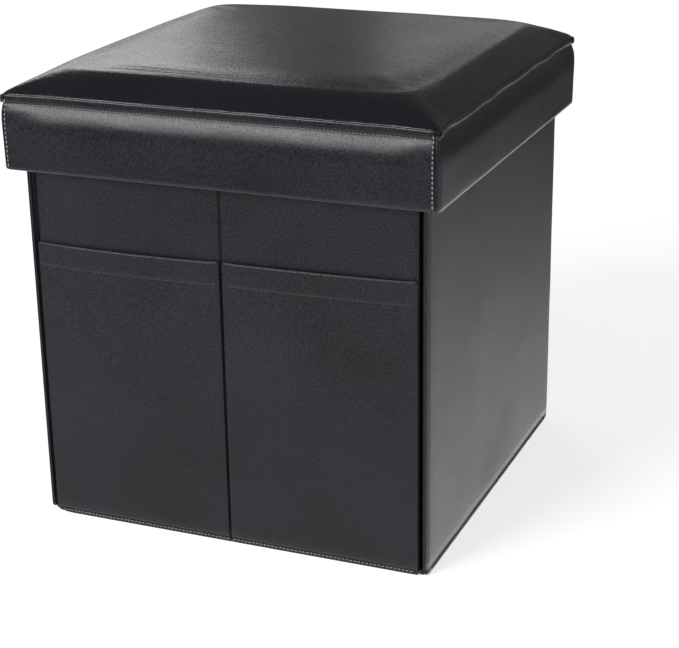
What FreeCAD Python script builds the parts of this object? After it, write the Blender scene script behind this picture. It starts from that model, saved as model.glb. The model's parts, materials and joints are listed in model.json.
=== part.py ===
import FreeCAD, Part
import math
import os

# Storage ottoman: a cube of board panels covered in foam-backed PU leather, with a lift-off
# padded lid.  The front and back walls are split down the middle and fold inward, so that the
# side walls come together once the lid is off and the bottom flap is raised.
# Frame: origin at the centre of the footprint on the floor, +Z up, front faces -Y, +X is the
# right-hand side seen from the front.  Millimetres.

# ---- driving dimensions -------------------------------------------------------------------
LID_W = 374.0          # lid, outside of its cover, both ways
BODY_W = 350.0         # body, outside of its cover, both ways
SEAM_Z = 372.0         # seam between the lid's top panel and its side bands
TOP_Z = 393.0          # crown of the cushion
SKIRT_Z = 310.0        # lower edge of the lid's skirt
WALL_TOP = 340.0       # top edge of the body walls
HEM_H = 6.0            # soft hem under the wall boards

WALL_T = 10.0          # folding halves: cover + board + lining
SKIN_T = 2.5           # foam-backed PU cover
SIDE_T = 5.5           # side walls are thinner: cover + board + lining
SIDE_SKIN = 1.5
LINING_T = 0.5         # non-woven lining
GROOVE = 3.0           # groove between a folding half and the side wall
CREASE = 1.5           # gap between the two halves of a folding wall
AXIS_IN = 6.2          # side wall's inner face to the corner fold axis
MID_OUT = 6.5          # mid fold axis stands this far outside the cover of a half

POCKET_Z = 248.5       # mouth of the front pockets
POCKET_DEPTH = 4.5     # clear depth of a pocket
POCKET_T = 1.1         # pocket cloth

LID_BOARD = (341.0, 346.0)   # the lid's top board, z
BAND_T = 4.0           # padded lid cover over its side boards
SKIRT_T = 3.3          # skirt board
SKIRT_UP = 3.0         # the skirt boards stop this far above the skirt's lower edge
TOP_T = 1.6            # top panel of the cover
FLAP_BOARD_T = 3.3     # bottom flap's board
FLAP_CLOTH_T = 0.5
FLAP_Z = 0.3           # the flap lies this far above the floor

# ---- derived ------------------------------------------------------------------------------
H = BODY_W / 2                     # 175
HI = H - WALL_T                    # 165, inner face of the front and back
HS = H - SIDE_T                    # 169.5, inner face of the side walls
AX = HS - AXIS_IN                  # 163.3, corner fold axes at (+-AX, +-HI)
EDGE = HS - GROOVE                 # 166.5, outer edge of a folding half
LH = LID_W / 2                     # 187
LB = LH - BAND_T                   # 183
LI = LB - SKIRT_T                  # 179.7
LL = LI - LINING_T                 # 179.2

V = FreeCAD.Vector
os.makedirs("parts", exist_ok=True)


def box(x0, x1, y0, y1, z0, z1):
    return Part.makeBox(x1 - x0, y1 - y0, z1 - z0, V(x0, y0, z0))


def prism(points, z0, z1):
    """Upright prism. A point is (x, y) or (x, y, r), where r rounds that corner."""
    n = len(points)
    edges, ends = [], []
    for i in range(n):
        p = V(points[i][0], points[i][1], z0)
        r = points[i][2] if len(points[i]) > 2 else 0.0
        if r <= 0:
            ends.append((p, p, None))
            continue
        a = V(points[i - 1][0], points[i - 1][1], z0) - p
        b = V(points[(i + 1) % n][0], points[(i + 1) % n][1], z0) - p
        a.normalize()
        b.normalize()
        half = a.getAngle(b) / 2
        d = r / math.tan(half)
        c = p + (a + b).normalize() * (r / math.sin(half))
        mid = c + (p - c).normalize() * r
        ends.append((p + a * d, p + b * d, mid))
    for i in range(n):
        s, e, mid = ends[i]
        if mid is not None:
            edges.append(Part.Arc(s, mid, e).toShape())
        nxt = ends[(i + 1) % n][0]
        if (nxt - e).Length > 1e-6:
            edges.append(Part.LineSegment(e, nxt).toShape())
    return Part.Face(Part.Wire(edges)).extrude(V(0, 0, z1 - z0))


def turned(shape, quarter):
    """Turn about the vertical axis through the origin, in quarter turns."""
    s = shape.copy()
    s.rotate(V(0, 0, 0), V(0, 0, 1), 90 * quarter)
    return s


def mirror_x(shape):
    return shape.mirror(V(0, 0, 0), V(1, 0, 0))


def mirror_y(shape):
    return shape.mirror(V(0, 0, 0), V(0, 1, 0))


def save(name, shape):
    solids = shape.Solids
    assert solids and shape.isValid(), name
    out = solids[0] if len(solids) == 1 else Part.makeCompound(solids)
    out.exportStep("parts/" + name + ".step")


# ---- side walls: one board each, full depth -------------------------------------------------
R_OUT = 3.8                        # soft vertical corner of the covered wall
R_IN = 1.4
side_outer = prism([(-H, -H, R_OUT), (-HS, -H, R_IN), (-HS, H, R_IN), (-H, H, R_OUT)], HEM_H, WALL_TOP)
BX0, BX1 = -H + SIDE_SKIN, -HS - LINING_T
side_cavity = box(BX0, -HS + 1, -H + SKIN_T, H - SKIN_T, HEM_H - 1, WALL_TOP - SKIN_T)
side_skin = side_outer.cut(side_cavity)
side_board = prism([(BX0, -H + SKIN_T, 1.8), (BX1, -H + SKIN_T), (BX1, H - SKIN_T), (BX0, H - SKIN_T, 1.8)],
                   HEM_H, WALL_TOP - SKIN_T)
side_lining = box(BX1, -HS, -H + SKIN_T, H - SKIN_T, HEM_H, WALL_TOP - SKIN_T)
side_hem = prism([(-H + 0.2, -H + 0.2, R_OUT), (-HS, -H + 0.2, R_IN), (-HS, H - 0.2, R_IN), (-H + 0.2, H - 0.2, R_OUT)],
                 0.0, HEM_H)
for side, f in (("left", lambda s: s), ("right", mirror_x)):
    save(side + "_wall_cover", f(side_skin))
    save(side + "_wall_board", f(side_board))
    save(side + "_wall_lining", f(side_lining))
    save(side + "_wall_hem", f(side_hem))

# ---- folding halves of the front and back walls ---------------------------------------------
E0, E1 = -EDGE, -CREASE / 2
half_outer = prism([(E0, -H, 4.0), (E1, -H, 1.2), (E1, -HI), (E0, -HI, 1.5)], HEM_H, WALL_TOP)
half_cavity = box(E0 + SKIN_T, E1 - SKIN_T, -H + SKIN_T, -HI + 1, HEM_H - 1, WALL_TOP - SKIN_T)
half_skin = half_outer.cut(half_cavity)
half_board = box(E0 + SKIN_T, E1 - SKIN_T, -H + SKIN_T, -HI - LINING_T, HEM_H, WALL_TOP - SKIN_T)
half_lining = box(E0 + SKIN_T, E1 - SKIN_T, -HI - LINING_T, -HI, HEM_H, WALL_TOP - SKIN_T)
half_hem = prism([(E0, -H + 0.2, 4.0), (E1, -H + 0.2, 1.2), (E1, -HI), (E0, -HI, 1.5)], 0.0, HEM_H)

# pocket: a shallow pouch of one cloth, sewn along the groove, the centre seam and above the hem
PX0, PX1 = E0 + 1.0, E1 - 1.2
PY0 = -H - POCKET_DEPTH - POCKET_T
pocket = prism([(PX0, PY0, 2.0), (PX1, PY0, 2.0), (PX1, -H), (PX0, -H)], HEM_H, POCKET_Z)
pocket = pocket.cut(box(PX0 + POCKET_T, PX1 - POCKET_T, PY0 + POCKET_T, -H + 1, HEM_H + POCKET_T + 3.0, POCKET_Z + 1))
pocket = pocket.cut(half_outer)

halves = {
    "front_left": lambda s: s,
    "front_right": mirror_x,
    "back_left": mirror_y,
    "back_right": lambda s: mirror_y(mirror_x(s)),
}
for name, f in halves.items():
    save(name + "_cover", f(half_skin))
    save(name + "_board", f(half_board))
    save(name + "_lining", f(half_lining))
    save(name + "_hem", f(half_hem))
save("pocket_left", pocket)
save("pocket_right", mirror_x(pocket))

# ---- cloth hinges ----------------------------------------------------------------------------
# inside corner: an L of cloth, one leg on the side wall's lining and one behind the folding half
C = 0.8
corner = prism([(-HS, -HI + 0.1), (-HS + 14, -HI + 0.1), (-HS + 14, -HI + C), (-HS + C, -HI + C, 0.5),
                (-HS + C, -HI + 15), (-HS, -HI + 15)], HEM_H + 4, WALL_TOP - 8)
corners = {
    "corner_hinge_front_left": lambda s: s,
    "corner_hinge_front_right": mirror_x,
    "corner_hinge_back_left": mirror_y,
    "corner_hinge_back_right": lambda s: mirror_y(mirror_x(s)),
}
for name, f in corners.items():
    save(name, f(corner))
# crease: a narrow strip of PU down the middle of the front and of the back, between the two halves
crease = box(-CREASE / 2 + 0.1, CREASE / 2 - 0.1, -H + 1.2, -H + 2.4, HEM_H, WALL_TOP - SKIN_T)
save("crease_front", crease)
save("crease_back", mirror_y(crease))

# ---- bottom flap, hinged on the left wall ------------------------------------------------------
FX0, FX1, FY = -HS + 1.8, HS - 4.0, HI - 1.5
fz0, fz1 = FLAP_Z, FLAP_Z + FLAP_BOARD_T + 2 * FLAP_CLOTH_T
flap_outer = prism([(FX0, -FY, 3.0), (FX1, -FY, 3.0), (FX1, FY, 3.0), (FX0, FY, 3.0)], fz0, fz1)
flap_board = prism([(FX0 + FLAP_CLOTH_T, -FY + FLAP_CLOTH_T, 2.5), (FX1 - FLAP_CLOTH_T, -FY + FLAP_CLOTH_T, 2.5),
                    (FX1 - FLAP_CLOTH_T, FY - FLAP_CLOTH_T, 2.5), (FX0 + FLAP_CLOTH_T, FY - FLAP_CLOTH_T, 2.5)],
                   fz0 + FLAP_CLOTH_T, fz1 - FLAP_CLOTH_T)
save("bottom_board", flap_board)
save("bottom_board_cloth", flap_outer.cut(flap_board))
# cloth hinge of the flap, on the left wall's lining and over the edge of the flap
fh = box(-HS, -HS + 0.6, -148, 148, fz1 + 0.15, fz1 + 12).fuse(box(-HS, -HS + 13, -148, 148, fz1 + 0.15, fz1 + 0.65))
save("bottom_hinge_cloth", fh.removeSplitter())
# pull tab: a doubled length of webbing lying flat near the free edge of the flap
tab = prism([(FX1 - 40, -12.5, 1), (FX1 - 3, -12.5, 4), (FX1 - 3, 12.5, 4), (FX1 - 40, 12.5, 1)], fz1, fz1 + 0.8)
save("pull_tab", tab)

# ---- lid -----------------------------------------------------------------------------------
lid_board = box(-LI, LI, -LI, LI, *LID_BOARD)
save("lid_board", lid_board)
skirt_z0, skirt_z1 = SKIRT_Z + SKIRT_UP, LID_BOARD[1]
# the front and back skirt boards run full width, the side ones stand between them
save("lid_skirt_front", box(-LB, LB, -LB, -LI, skirt_z0, skirt_z1))
save("lid_skirt_back", box(-LB, LB, LI, LB, skirt_z0, skirt_z1))
save("lid_skirt_left", box(-LB, -LI, -LI, LI, skirt_z0, skirt_z1))
save("lid_skirt_right", box(LI, LB, -LI, LI, skirt_z0, skirt_z1))
lining = box(-LI, LI, -LI, LI, skirt_z0, LID_BOARD[0]).cut(box(-LL, LL, -LL, LL, skirt_z0 - 1, LID_BOARD[0] - LINING_T))
save("lid_lining", lining)


def pad(half, z0, z_edge, z_shoulder, z_top, inset, flat, r):
    """Cushion: upright sides to z_edge, then a crown that slopes in to a nearly flat top."""
    def ring(h, z, rr):
        return prism([(-h, -h, rr), (h, -h, rr), (h, h, rr), (-h, h, rr)], z, z + 0.01)
    def wire(h, z, rr):
        f = ring(h, z, rr).Faces
        low = min(f, key=lambda q: (round(q.CenterOfMass.z, 4), -q.Area))
        return low.OuterWire
    base = prism([(-half, -half, r), (half, -half, r), (half, half, r), (-half, half, r)], z0, z_edge)
    a = Part.makeLoft([wire(half, z_edge, r), wire(half - inset, z_shoulder, r + 4)], True, True)
    b = Part.makeLoft([wire(half - inset, z_shoulder, r + 4), wire(flat, z_top, r + 12)], True, True)
    return base.fuse(a).fuse(b).removeSplitter()


foam = pad(LB, LID_BOARD[1], SEAM_Z - 1.2, TOP_Z - TOP_T - 5.0, TOP_Z - TOP_T, 26.0, 120.0, 5.0)
outer = pad(LH, SEAM_Z - 2.0, SEAM_Z, TOP_Z - 5.0, TOP_Z, 26.0, 120.0, 7.0)
save("lid_foam", foam)
# the foam carries the top panel of the cover, which starts at the seam
top_panel = outer.common(box(-200, 200, -200, 200, SEAM_Z, 400)).cut(foam)
save("lid_top_panel", max(top_panel.Solids, key=lambda s: s.Volume))

# four bands, mitred at the corners, each turned under the skirt board
ring = prism([(-LH, -LH, 7.0), (LH, -LH, 7.0), (LH, LH, 7.0), (-LH, LH, 7.0)], SKIRT_Z, SEAM_Z)
ring = ring.cut(box(-LL, LL, -LL, LL, SKIRT_Z - 1, SEAM_Z + 1))
for s in (foam, lid_board, lining, box(-LB, LB, -LB, LB, skirt_z0, skirt_z1)):
    ring = ring.cut(s)
q = 0.05
wedge = Part.Face(Part.makePolygon([V(0, -q, 300), V(-300, -300 - q, 300), V(300, -300 - q, 300), V(0, -q, 300)]))
wedge = wedge.extrude(V(0, 0, 90))
for k, name in enumerate(("front", "right", "back", "left")):
    band = ring.common(turned(wedge, k))
    save("lid_band_" + name, max(band.Solids, key=lambda s: s.Volume))

print("size", LID_W, LID_W, TOP_Z)
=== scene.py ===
import json
import math

import bpy
import numpy as np
from mathutils import Matrix, Vector, noise


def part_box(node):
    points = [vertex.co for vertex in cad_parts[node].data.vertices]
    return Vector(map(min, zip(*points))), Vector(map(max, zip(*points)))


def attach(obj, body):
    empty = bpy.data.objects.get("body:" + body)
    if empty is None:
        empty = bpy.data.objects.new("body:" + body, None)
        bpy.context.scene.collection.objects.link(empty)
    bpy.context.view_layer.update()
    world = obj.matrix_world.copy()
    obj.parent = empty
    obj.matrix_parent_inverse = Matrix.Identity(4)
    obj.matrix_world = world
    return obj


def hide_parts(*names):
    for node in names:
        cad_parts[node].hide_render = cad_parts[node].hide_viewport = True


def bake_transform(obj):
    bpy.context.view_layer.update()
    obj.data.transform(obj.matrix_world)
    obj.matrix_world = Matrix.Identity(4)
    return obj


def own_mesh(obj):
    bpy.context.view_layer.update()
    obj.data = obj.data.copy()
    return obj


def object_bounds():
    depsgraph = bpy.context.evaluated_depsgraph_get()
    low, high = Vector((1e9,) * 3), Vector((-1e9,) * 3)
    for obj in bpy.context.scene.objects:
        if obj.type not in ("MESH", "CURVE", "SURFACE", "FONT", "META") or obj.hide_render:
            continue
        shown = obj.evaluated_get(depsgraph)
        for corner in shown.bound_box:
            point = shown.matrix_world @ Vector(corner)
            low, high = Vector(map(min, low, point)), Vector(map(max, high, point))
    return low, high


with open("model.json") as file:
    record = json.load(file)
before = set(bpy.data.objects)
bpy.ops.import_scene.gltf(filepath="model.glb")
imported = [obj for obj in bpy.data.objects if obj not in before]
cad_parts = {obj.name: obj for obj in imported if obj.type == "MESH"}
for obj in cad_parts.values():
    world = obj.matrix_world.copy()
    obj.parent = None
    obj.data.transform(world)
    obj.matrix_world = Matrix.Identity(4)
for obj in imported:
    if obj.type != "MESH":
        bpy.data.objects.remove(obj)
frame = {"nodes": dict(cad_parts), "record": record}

CAD_BOX = [[float(x) for x in c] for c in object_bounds()]
scene = bpy.context.scene
MM = 0.001

# sizes in millimetres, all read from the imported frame
(_lx0, _ly0, _z0), (_lx1, _ly1, TOP_Z) = [[c / MM for c in v] for v in CAD_BOX]
LH = _lx1                                                     # lid half width
SEAM_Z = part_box("lid_top_panel")[0][2] / MM                   # seam of cushion and bands
SKIRT_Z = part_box("lid_band_front")[0][2] / MM                 # lower edge of the skirt
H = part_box("right_wall_cover")[1][0] / MM                     # body half width
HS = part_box("right_wall_cover")[0][0] / MM                    # inner face of the side walls
HI = -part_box("front_left_cover")[1][1] / MM                   # inner face of the front and back
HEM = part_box("left_wall_hem")[1][2] / MM
WALL_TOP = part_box("left_wall_cover")[1][2] / MM
EDGE = -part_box("front_left_cover")[0][0] / MM                 # outer end of a folding half
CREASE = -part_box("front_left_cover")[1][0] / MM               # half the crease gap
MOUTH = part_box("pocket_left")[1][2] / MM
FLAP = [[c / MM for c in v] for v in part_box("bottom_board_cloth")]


# =============================================================================================
# materials
# =============================================================================================
def new_material(name):
    m = bpy.data.materials.new(name)
    m.use_nodes = True
    nt = m.node_tree
    nt.nodes.clear()
    out = nt.nodes.new("ShaderNodeOutputMaterial")
    bsdf = nt.nodes.new("ShaderNodeBsdfPrincipled")
    nt.links.new(bsdf.outputs[0], out.inputs[0])
    return m, nt, bsdf


def add(nt, kind, **values):
    n = nt.nodes.new(kind)
    for k, v in values.items():
        setattr(n, k, v)
    return n


def coords(nt, scale=(1, 1, 1), rot=(0, 0, 0)):
    tc = add(nt, "ShaderNodeTexCoord")
    mp = add(nt, "ShaderNodeMapping")
    mp.inputs["Scale"].default_value = scale
    mp.inputs["Rotation"].default_value = rot
    nt.links.new(tc.outputs["Object"], mp.inputs["Vector"])
    return mp.outputs[0]


def noise_tex(nt, vec, scale, detail=3.0, rough=0.55):
    n = add(nt, "ShaderNodeTexNoise")
    n.inputs["Scale"].default_value = scale
    n.inputs["Detail"].default_value = detail
    n.inputs["Roughness"].default_value = rough
    nt.links.new(vec, n.inputs["Vector"])
    return n.outputs["Fac"]


def voronoi(nt, vec, scale, feature="DISTANCE_TO_EDGE"):
    n = add(nt, "ShaderNodeTexVoronoi", feature=feature)
    n.inputs["Scale"].default_value = scale
    nt.links.new(vec, n.inputs["Vector"])
    return n.outputs["Distance"]


def ramp(nt, fac, stops):
    n = add(nt, "ShaderNodeValToRGB")
    cr = n.color_ramp
    while len(cr.elements) < len(stops):
        cr.elements.new(0.5)
    for e, (p, c) in zip(cr.elements, stops):
        e.position = p
        e.color = (c[0], c[1], c[2], 1) if hasattr(c, "__len__") else (c, c, c, 1)
    nt.links.new(fac, n.inputs["Fac"])
    return n.outputs["Color"]


def maprange(nt, fac, a, b, lo=0.0, hi=1.0):
    n = add(nt, "ShaderNodeMapRange")
    n.inputs["From Min"].default_value = lo
    n.inputs["From Max"].default_value = hi
    n.inputs["To Min"].default_value = a
    n.inputs["To Max"].default_value = b
    nt.links.new(fac, n.inputs["Value"])
    return n.outputs["Result"]


def math_node(nt, op, a, b):
    n = add(nt, "ShaderNodeMath", operation=op)
    for i, v in enumerate((a, b)):
        if hasattr(v, "node"):
            nt.links.new(v, n.inputs[i])
        else:
            n.inputs[i].default_value = v
    return n.outputs[0]


def bump(nt, bsdf, heights):
    """heights: [(socket, strength, distance in metres)], stacked one on another."""
    prev = None
    for h, strength, dist in heights:
        b = add(nt, "ShaderNodeBump")
        b.inputs["Strength"].default_value = strength
        b.inputs["Distance"].default_value = dist
        nt.links.new(h, b.inputs["Height"])
        if prev is not None:
            nt.links.new(prev, b.inputs["Normal"])
        prev = b.outputs["Normal"]
    nt.links.new(prev, bsdf.inputs["Normal"])


def pu_leather(name, dark, light, r_lo, r_hi, grain=0.5, streak=0.0, grain_size=1.15):
    """Coated cloth: pebbled grain a millimetre across, slow mottling of colour and gloss."""
    m, nt, bsdf = new_material(name)
    v = coords(nt)
    slow = noise_tex(nt, v, 9.0, 2.0, 0.5)
    fine = noise_tex(nt, v, 900.0 / grain_size, 2.0, 0.5)
    cells = voronoi(nt, v, 1000.0 / grain_size)
    pores = noise_tex(nt, v, 2600.0, 1.0)
    nt.links.new(ramp(nt, math_node(nt, "ADD", math_node(nt, "MULTIPLY", slow, 0.35), math_node(nt, "MULTIPLY", fine, 0.65)),
                      [(0.37, dark), (0.63, light)]), bsdf.inputs["Base Color"])
    worn = math_node(nt, "ADD", math_node(nt, "MULTIPLY", slow, 0.3), math_node(nt, "MULTIPLY", fine, 0.7))
    nt.links.new(maprange(nt, worn, r_lo, r_hi, 0.35, 0.65), bsdf.inputs["Roughness"])
    stack = [(cells, 0.35 * grain, 0.0003), (fine, 0.55 * grain, 0.0004), (pores, 0.2 * grain, 0.00015)]
    if streak:
        long = noise_tex(nt, coords(nt, scale=(0.06, 1.0, 1.0)), 420.0, 3.0, 0.6)
        stack.append((long, streak, 0.0006))
    bump(nt, bsdf, stack)
    bsdf.inputs["Specular IOR Level"].default_value = 0.5
    bsdf.inputs["IOR"].default_value = 1.5
    return m


def nonwoven(name, dark, light):
    """Bonded fibre cloth with its pattern of small pressed dots."""
    m, nt, bsdf = new_material(name)
    v = coords(nt)
    fibres = noise_tex(nt, coords(nt, scale=(1.0, 0.35, 0.5), rot=(0.3, 0.2, 0.6)), 1500.0, 4.0, 0.7)
    dots = voronoi(nt, v, 620.0, "F1")
    pressed = ramp(nt, dots, [(0.12, 0.0), (0.3, 1.0)])
    slow = noise_tex(nt, v, 30.0, 3.0)
    mix = math_node(nt, "ADD", math_node(nt, "MULTIPLY", fibres, 0.75), math_node(nt, "MULTIPLY", slow, 0.25))
    nt.links.new(ramp(nt, mix, [(0.35, dark), (0.68, light)]), bsdf.inputs["Base Color"])
    bsdf.inputs["Roughness"].default_value = 0.93
    bsdf.inputs["Sheen Weight"].default_value = 0.25
    bsdf.inputs["Sheen Roughness"].default_value = 0.5
    bump(nt, bsdf, [(pressed, 0.5, 0.0003), (fibres, 0.5, 0.0003)])
    return m


def webbing_mat(name, dark, light):
    m, nt, bsdf = new_material(name)
    v = coords(nt, rot=(0, 0, math.radians(45)))
    w = add(nt, "ShaderNodeTexWave", wave_type="BANDS", bands_direction="X")
    w.inputs["Scale"].default_value = 210.0
    w.inputs["Distortion"].default_value = 0.6
    nt.links.new(v, w.inputs["Vector"])
    nt.links.new(ramp(nt, w.outputs["Fac"], [(0.2, dark), (0.8, light)]), bsdf.inputs["Base Color"])
    bsdf.inputs["Roughness"].default_value = 0.75
    bump(nt, bsdf, [(w.outputs["Fac"], 0.7, 0.0003)])
    return m


def fibreboard(name):
    m, nt, bsdf = new_material(name)
    v = coords(nt)
    chips = voronoi(nt, v, 900.0, "F1")
    fine = noise_tex(nt, v, 1800.0, 4.0, 0.7)
    mix = math_node(nt, "ADD", math_node(nt, "MULTIPLY", chips, 0.5), math_node(nt, "MULTIPLY", fine, 0.6))
    nt.links.new(ramp(nt, mix, [(0.25, (0.23, 0.15, 0.085)), (0.55, (0.36, 0.25, 0.15)), (0.8, (0.47, 0.34, 0.22))]),
                 bsdf.inputs["Base Color"])
    bsdf.inputs["Roughness"].default_value = 0.82
    bump(nt, bsdf, [(fine, 0.4, 0.0002)])
    return m


def foam_mat(name):
    m, nt, bsdf = new_material(name)
    v = coords(nt)
    cells = voronoi(nt, v, 700.0, "F1")
    slow = noise_tex(nt, v, 60.0)
    nt.links.new(ramp(nt, slow, [(0.3, (0.70, 0.63, 0.45)), (0.7, (0.82, 0.77, 0.62))]), bsdf.inputs["Base Color"])
    bsdf.inputs["Roughness"].default_value = 0.95
    bump(nt, bsdf, [(cells, 0.8, 0.0005)])
    return m


def thread_mat(name, colour, rough):
    m, nt, bsdf = new_material(name)
    twist = add(nt, "ShaderNodeTexWave", wave_type="BANDS", bands_direction="DIAGONAL")
    twist.inputs["Scale"].default_value = 900.0
    nt.links.new(coords(nt), twist.inputs["Vector"])
    c = [x * 0.6 for x in colour]
    nt.links.new(ramp(nt, twist.outputs["Fac"], [(0.2, c), (0.8, colour)]), bsdf.inputs["Base Color"])
    bsdf.inputs["Roughness"].default_value = rough
    bump(nt, bsdf, [(twist.outputs["Fac"], 0.5, 0.0001)])
    return m


PU_BODY = pu_leather("pu_leather_body", (0.0072, 0.0075, 0.0108), (0.0180, 0.0187, 0.0246), 0.33, 0.50, grain=0.9, grain_size=1.5)
PU_LID = pu_leather("pu_leather_lid_band", (0.0080, 0.0083, 0.0118), (0.0188, 0.0195, 0.0256), 0.27, 0.41, grain=0.38, grain_size=1.5)
PU_TOP = pu_leather("pu_leather_cushion", (0.0075, 0.0078, 0.0110), (0.0150, 0.0158, 0.0205), 0.17, 0.30, grain=0.40, streak=0.45, grain_size=1.4)
LINING = nonwoven("nonwoven_lining", (0.008, 0.008, 0.009), (0.030, 0.030, 0.033))
CLOTH = nonwoven("hinge_cloth_black", (0.006, 0.006, 0.007), (0.022, 0.022, 0.024))
WEB = webbing_mat("webbing_black", (0.008, 0.008, 0.009), (0.04, 0.04, 0.043))
BOARD = fibreboard("fibreboard")
FOAM = foam_mat("seat_foam")
THREAD = thread_mat("thread_black", (0.035, 0.037, 0.042), 0.32)
THREAD_SOFT = thread_mat("thread_soft_black", (0.085, 0.088, 0.095), 0.4)
# black thread lightened to grey: painted sheen standing in for the thread's highlights
THREAD_PAINTED_SHEEN = thread_mat("thread_black_with_painted_sheen", (0.17, 0.175, 0.188), 0.35)
# near-black for the needle holes: painted shade inside the holes
HOLE_PAINTED_SHADE = thread_mat("painted_shade_needle_hole", (0.002, 0.002, 0.002), 0.9)
# a lighter PU for the pocket mouth's turned edge: painted highlight of the fold
PU_EDGE_PAINTED_HIGHLIGHT = thread_mat("pu_turned_edge_painted_highlight", (0.075, 0.078, 0.086), 0.38)
THREAD_PALE = thread_mat("thread_grey", (0.42, 0.43, 0.45), 0.5)


# =============================================================================================
# mesh helpers: everything below works in millimetres until make() scales it
# =============================================================================================
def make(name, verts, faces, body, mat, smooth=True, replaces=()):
    me = bpy.data.meshes.new(name)
    me.from_pydata((np.asarray(verts, float) * MM).tolist(), [], [tuple(int(i) for i in f) for f in faces])
    me.validate()
    me.update()
    me.polygons.foreach_set("use_smooth", [smooth] * len(me.polygons))
    me.materials.append(mat)
    ob = bpy.data.objects.new(name, me)
    scene.collection.objects.link(ob)
    if body:
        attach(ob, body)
    if replaces:
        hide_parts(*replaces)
    return ob


def shell_of(verts, faces, thickness):
    """Closes a sheet into a thin solid: verts' inner copy is moved against the sheet's normals."""
    V = np.asarray(verts, float)
    t = np.broadcast_to(np.asarray(thickness, float), (len(V),))
    N = vertex_normals(V, faces)
    inner = V - N * t[:, None]
    n = len(V)
    edges = {}
    for f in faces:
        for a, b in zip(f, f[1:] + f[:1]):
            edges[(a, b)] = edges.get((a, b), 0) + 1
    rim = [(a, b) for (a, b) in edges if (b, a) not in edges]
    out = [tuple(f) for f in faces]
    out += [tuple(n + i for i in reversed(f)) for f in faces]
    out += [(b, a, n + a, n + b) for a, b in rim]
    return np.vstack([V, inner]), out


def vertex_normals(V, faces):
    N = np.zeros_like(V)
    quads = np.array([f for f in faces if len(f) == 4], int)
    if len(quads):
        a, b, c, d = (V[quads[:, i]] for i in range(4))
        fn = np.cross(c - a, d - b)
        fn /= np.linalg.norm(fn, axis=1, keepdims=True) + 1e-12
        for i in range(4):
            np.add.at(N, quads[:, i], fn)
    for f in faces:
        if len(f) == 3:
            a, b, c = (V[i] for i in f)
            m = np.cross(b - a, c - a)
            m /= np.linalg.norm(m) + 1e-12
            for i in f:
                N[i] += m
    return N / (np.linalg.norm(N, axis=1, keepdims=True) + 1e-12)


def lines(lo, hi, rlo, rhi, step, nr=4):
    """Grid lines between lo and hi, closer together where an edge is rounded."""
    a = [lo + rlo * (1 - math.tan(math.radians(45 * (1 - i / nr)))) for i in range(nr)] if rlo > 0 else []
    c = [hi - rhi * (1 - math.tan(math.radians(45 * (1 - i / nr)))) for i in range(nr)][::-1] if rhi > 0 else []
    m0, m1 = lo + rlo, hi - rhi
    n = max(1, int(round((m1 - m0) / step)))
    return np.array(a + [m0 + (m1 - m0) * i / n for i in range(n + 1)] + c)


def boxgrid(xs, ys, zs, keep=None):
    """The gridded surface of a box. keep(side, centre) drops faces; side is 'x-', 'x+', 'y-' and so on."""
    nx, ny, nz = len(xs) - 1, len(ys) - 1, len(zs) - 1
    ids, V, F = {}, [], []

    def vid(i, j, k):
        key = (i, j, k)
        if key not in ids:
            ids[key] = len(V)
            V.append((xs[i], ys[j], zs[k]))
        return ids[key]

    def face(side, pts):
        c = np.mean([(xs[i], ys[j], zs[k]) for i, j, k in pts], axis=0)
        if keep is None or keep(side, c):
            F.append(tuple(vid(*p) for p in pts))

    for i in range(nx):
        for k in range(nz):
            face("y-", [(i, 0, k), (i + 1, 0, k), (i + 1, 0, k + 1), (i, 0, k + 1)])
            face("y+", [(i, ny, k), (i, ny, k + 1), (i + 1, ny, k + 1), (i + 1, ny, k)])
    for j in range(ny):
        for k in range(nz):
            face("x-", [(0, j, k), (0, j, k + 1), (0, j + 1, k + 1), (0, j + 1, k)])
            face("x+", [(nx, j, k), (nx, j + 1, k), (nx, j + 1, k + 1), (nx, j, k + 1)])
    for i in range(nx):
        for j in range(ny):
            face("z-", [(i, j, 0), (i, j + 1, 0), (i + 1, j + 1, 0), (i + 1, j, 0)])
            face("z+", [(i, j, nz), (i + 1, j, nz), (i + 1, j + 1, nz), (i, j + 1, nz)])
    return np.array(V, float), F


def rounded(P, lo, hi, rlo, rhi):
    """Rounds the edges of a gridded box; returns points and their outward directions."""
    P, lo, hi, rlo, rhi = (np.asarray(v, float) for v in (P, lo, hi, rlo, rhi))
    mid = (lo + hi) / 2
    r = np.where(P < mid, rlo, rhi)
    c = np.clip(P, lo + rlo, hi - rhi)
    d = (P - c) / np.maximum(r, 1e-9)
    L = np.linalg.norm(d, axis=1, keepdims=True)
    safe = np.maximum(L, 1e-9)
    q = np.where(L > 1e-9, c + d / safe * r, P)
    return q, d / safe


def fbm(p, scale, seed=0.0, octaves=3):
    """Smooth noise, about -1 to 1, of points in millimetres with features of the given size."""
    out = np.empty(len(p))
    for n, (x, y, z) in enumerate(p):
        out[n] = noise.fractal(Vector((x / scale + seed, y / scale - seed, z / scale + 2 * seed)), 0.9, 2.1, octaves)
    return out


def smooth01(t):
    t = np.clip(t, 0, 1)
    return t * t * (3 - 2 * t)


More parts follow.
